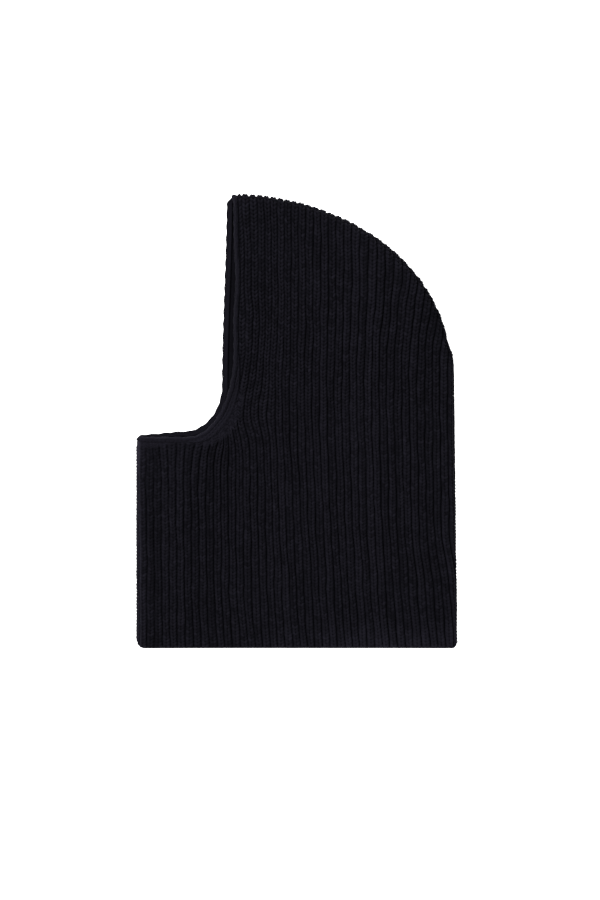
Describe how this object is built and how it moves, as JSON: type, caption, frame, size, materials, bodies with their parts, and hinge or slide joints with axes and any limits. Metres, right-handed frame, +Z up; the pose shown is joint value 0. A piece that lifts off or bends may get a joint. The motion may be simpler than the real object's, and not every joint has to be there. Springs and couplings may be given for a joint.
{
  "type": "balaclava",
  "caption": "Rib-knit hood for the head and neck, laid flat in two layers, with a banded face opening, a curved linked seam along the crown and an open neck.",
  "frame": {"origin": "on the surface the garment lies on, under the middle of its width and height", "axes": "+Y from the neck opening to the crown, +X from the face side to the back of the head, +Z up from the right side of the head to the left side, through both layers"},
  "size_m": [0.265, 0.3754, 0.016],
  "materials": {
    "rib_knit": "soft matt wool yarn, black with a faint navy cast, heavy rib",
    "band_knit": "the same yarn in a narrow close-knit band",
    "linking_yarn": "the same yarn, chain-linked",
    "label_tape": "blank woven tape, satin",
    "label_thread": "spun polyester thread"
  },
  "bodies": {
    "root": {"left_side_panel": "rib_knit", "right_side_panel": "rib_knit", "left_face_band": "band_knit", "right_face_band": "band_knit", "left_band_linking": "linking_yarn", "right_band_linking": "linking_yarn", "crown_seam": "linking_yarn", "care_label": "label_tape", "label_stitch": "label_thread"}
  },
  "joints": []
}
